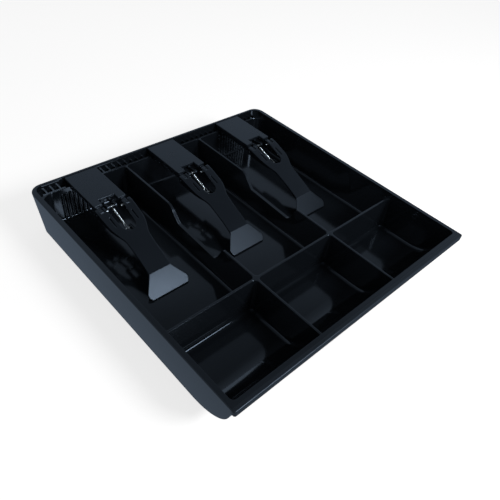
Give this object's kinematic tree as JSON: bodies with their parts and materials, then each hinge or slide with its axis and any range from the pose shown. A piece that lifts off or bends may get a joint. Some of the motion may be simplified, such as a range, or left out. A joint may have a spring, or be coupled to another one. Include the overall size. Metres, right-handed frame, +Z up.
{
  "type": "till insert tray",
  "caption": "Shallow glossy black cash tray with open note bays, scooped coin cups at the front and sprung hinged note clips hooked over the rear wall.",
  "frame": {"origin": "centre of the tray's footprint on the resting plane", "axes": "+Z up out of the open tray, +Y towards the rear wall that carries the clips, +X to the right seen from the coin cups"},
  "size_m": [0.2448, 0.2439, 0.04],
  "materials": {
    "tray_plastic": "glossy moulded",
    "clip_base_plastic": "satin moulded",
    "clip_arm_plastic": "satin moulded",
    "spring_wire": "bright plated wire",
    "pin_steel": "bright drawn"
  },
  "bodies": {
    "tray_body": {"tray": "tray_plastic", "clip_base_left": "clip_base_plastic", "hinge_pin_a_left": "pin_steel", "hinge_pin_b_left": "pin_steel", "spring_pin_rear_left": "pin_steel", "clip_base_centre": "clip_base_plastic", "hinge_pin_a_centre": "pin_steel", "hinge_pin_b_centre": "pin_steel", "spring_pin_rear_centre": "pin_steel", "clip_base_right": "clip_base_plastic", "hinge_pin_a_right": "pin_steel", "hinge_pin_b_right": "pin_steel", "spring_pin_rear_right": "pin_steel"},
    "arm_left": {"clip_arm_left": "clip_arm_plastic", "spring_pin_front_left": "pin_steel"},
    "spring_left": {"clip_spring_left": "spring_wire"},
    "arm_centre": {"clip_arm_centre": "clip_arm_plastic", "spring_pin_front_centre": "pin_steel"},
    "spring_centre": {"clip_spring_centre": "spring_wire"},
    "arm_right": {"clip_arm_right": "clip_arm_plastic", "spring_pin_front_right": "pin_steel"},
    "spring_right": {"clip_spring_right": "spring_wire"}
  },
  "joints": [
    {"name": "clip_hinge_left", "type": "hinge", "parent": "tray_body", "child": "arm_left", "pos_m": [-0.079, 0.0682, 0.0356], "axis": [-1, 0, 0], "range_deg": [0, 105]},
    {"name": "spring_swing_left", "type": "hinge", "parent": "tray_body", "child": "spring_left", "pos_m": [-0.079, 0.0726, 0.0346], "axis": [-1, 0, 0], "range_deg": [0, 87]},
    {"name": "clip_hinge_centre", "type": "hinge", "parent": "tray_body", "child": "arm_centre", "pos_m": [0, 0.0682, 0.0356], "axis": [-1, 0, 0], "range_deg": [0, 105]},
    {"name": "spring_swing_centre", "type": "hinge", "parent": "tray_body", "child": "spring_centre", "pos_m": [0, 0.0726, 0.0346], "axis": [-1, 0, 0], "range_deg": [0, 87]},
    {"name": "clip_hinge_right", "type": "hinge", "parent": "tray_body", "child": "arm_right", "pos_m": [0.079, 0.0682, 0.0356], "axis": [-1, 0, 0], "range_deg": [0, 105]},
    {"name": "spring_swing_right", "type": "hinge", "parent": "tray_body", "child": "spring_right", "pos_m": [0.079, 0.0726, 0.0346], "axis": [-1, 0, 0], "range_deg": [0, 87]}
  ],
  "couplings": [
    {"joint": "spring_swing_left", "follows": "clip_hinge_left", "ratio": 0.82},
    {"joint": "spring_swing_centre", "follows": "clip_hinge_centre", "ratio": 0.82},
    {"joint": "spring_swing_right", "follows": "clip_hinge_right", "ratio": 0.82}
  ]
}
